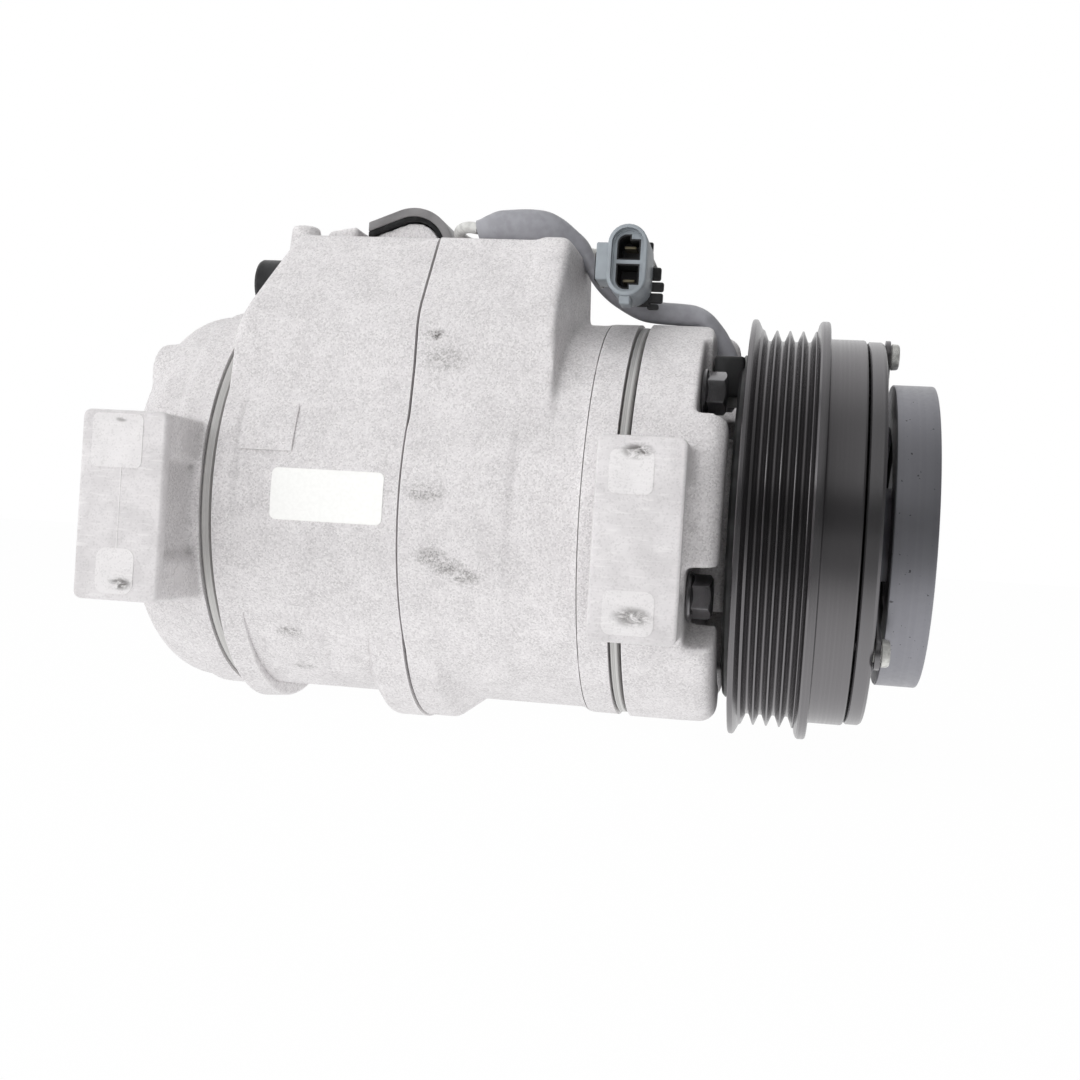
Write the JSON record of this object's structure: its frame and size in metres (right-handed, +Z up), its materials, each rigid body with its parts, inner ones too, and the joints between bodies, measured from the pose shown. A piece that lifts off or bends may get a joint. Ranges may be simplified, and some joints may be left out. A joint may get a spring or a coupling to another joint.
{
  "type": "automotive air-conditioning compressor",
  "caption": "Swash-plate refrigerant compressor with cast cylinder halves, manifold block, mounting lugs, ribbed belt pulley, magnetic clutch and a coil connector.",
  "frame": {"origin": "centre of the rear cover's flat back face, on the shaft axis", "axes": "+X along the shaft towards the clutch, +Z up through the manifold block, lugs towards -Y"},
  "size_m": [0.2138, 0.1335, 0.148],
  "materials": {
    "die_cast_aluminium": "as-cast, fine speckled grain",
    "plate_steel": "ground edge",
    "black_steel": "satin black electro-coat",
    "bearing_steel": "ground",
    "bright_steel": "zinc plated",
    "grey_steel": "matte dark grey coat",
    "piston_aluminium": "coated",
    "copper_winding": "enamelled wire",
    "tinned_brass": "tinned",
    "grey_nylon": "moulded",
    "grey_vinyl": "extruded, soft",
    "black_plastic": "moulded",
    "black_rubber": "moulded"
  },
  "bodies": {
    "housing": {"rear_housing": "die_cast_aluminium", "rear_valve_plate": "plate_steel", "rear_cylinder": "die_cast_aluminium", "front_cylinder": "die_cast_aluminium", "front_valve_plate": "plate_steel", "front_housing": "die_cast_aluminium", "through_bolt_1": "black_steel", "through_bolt_2": "black_steel", "through_bolt_3": "black_steel", "through_bolt_4": "black_steel", "through_bolt_5": "black_steel", "rear_needle_bearing": "bearing_steel", "front_needle_bearing": "bearing_steel", "rear_thrust_bearing": "bearing_steel", "front_thrust_bearing": "bearing_steel", "shaft_seal": "black_rubber", "field_coil": "black_steel", "coil_winding": "copper_winding", "coil_circlip": "bright_steel", "bearing_inner_race": "bearing_steel", "bearing_circlip": "bright_steel", "connector_housing": "grey_nylon", "terminal_1": "tinned_brass", "terminal_2": "tinned_brass", "connector_bracket": "black_plastic", "coil_lead_sleeve": "grey_vinyl", "connector_lead": "black_plastic", "top_port_cap": "black_plastic", "rear_port_plug": "black_plastic"},
    "pulley": {"pulley": "black_steel", "bearing_outer_race": "bearing_steel"},
    "bearing_cage": {"bearing_balls": "bearing_steel"},
    "shaft": {"drive_shaft": "bearing_steel", "swash_plate": "bearing_steel", "hub_boss": "grey_steel", "damper_rubber": "black_rubber", "hub_drum": "grey_steel", "hub_bolt": "black_steel"},
    "armature": {"armature_plate": "black_steel", "leaf_spring_1": "bright_steel", "leaf_spring_2": "bright_steel", "leaf_spring_3": "bright_steel", "rivet_1": "bright_steel", "rivet_2": "bright_steel", "rivet_3": "bright_steel"},
    "piston_1": {"piston_1": "piston_aluminium", "shoe_1_front": "bearing_steel", "shoe_1_rear": "bearing_steel"},
    "piston_2": {"piston_2": "piston_aluminium", "shoe_2_front": "bearing_steel", "shoe_2_rear": "bearing_steel"},
    "piston_3": {"piston_3": "piston_aluminium", "shoe_3_front": "bearing_steel", "shoe_3_rear": "bearing_steel"},
    "piston_4": {"piston_4": "piston_aluminium", "shoe_4_front": "bearing_steel", "shoe_4_rear": "bearing_steel"},
    "piston_5": {"piston_5": "piston_aluminium", "shoe_5_front": "bearing_steel", "shoe_5_rear": "bearing_steel"}
  },
  "joints": [
    {"name": "pulley_spin", "type": "hinge", "parent": "housing", "child": "pulley", "pos_m": [0.179, 0, 0], "axis": [1, 0, 0], "continuous": true},
    {"name": "bearing_roll", "type": "hinge", "parent": "housing", "child": "bearing_cage", "pos_m": [0.17865, 0, 0], "axis": [1, 0, 0], "continuous": true},
    {"name": "shaft_spin", "type": "hinge", "parent": "housing", "child": "shaft", "pos_m": [0.1, 0, 0], "axis": [1, 0, 0], "continuous": true},
    {"name": "armature_pull", "type": "slide", "parent": "shaft", "child": "armature", "axis": [1, 0, 0], "range_m": [-0.0004, 0], "stiffness_N_per_m": 8000},
    {"name": "piston_1_slide", "type": "slide", "parent": "housing", "child": "piston_1", "axis": [1, 0, 0], "range_m": [-0.014, 0]},
    {"name": "piston_2_slide", "type": "slide", "parent": "housing", "child": "piston_2", "axis": [1, 0, 0], "range_m": [-0.00916, 0.00484]},
    {"name": "piston_3_slide", "type": "slide", "parent": "housing", "child": "piston_3", "axis": [1, 0, 0], "range_m": [-0.00134, 0.01266]},
    {"name": "piston_4_slide", "type": "slide", "parent": "housing", "child": "piston_4", "axis": [1, 0, 0], "range_m": [-0.00134, 0.01266]},
    {"name": "piston_5_slide", "type": "slide", "parent": "housing", "child": "piston_5", "axis": [1, 0, 0], "range_m": [-0.00916, 0.00484]}
  ],
  "couplings": [
    {"joint": "bearing_roll", "follows": "pulley_spin", "ratio": 0.547}
  ]
}
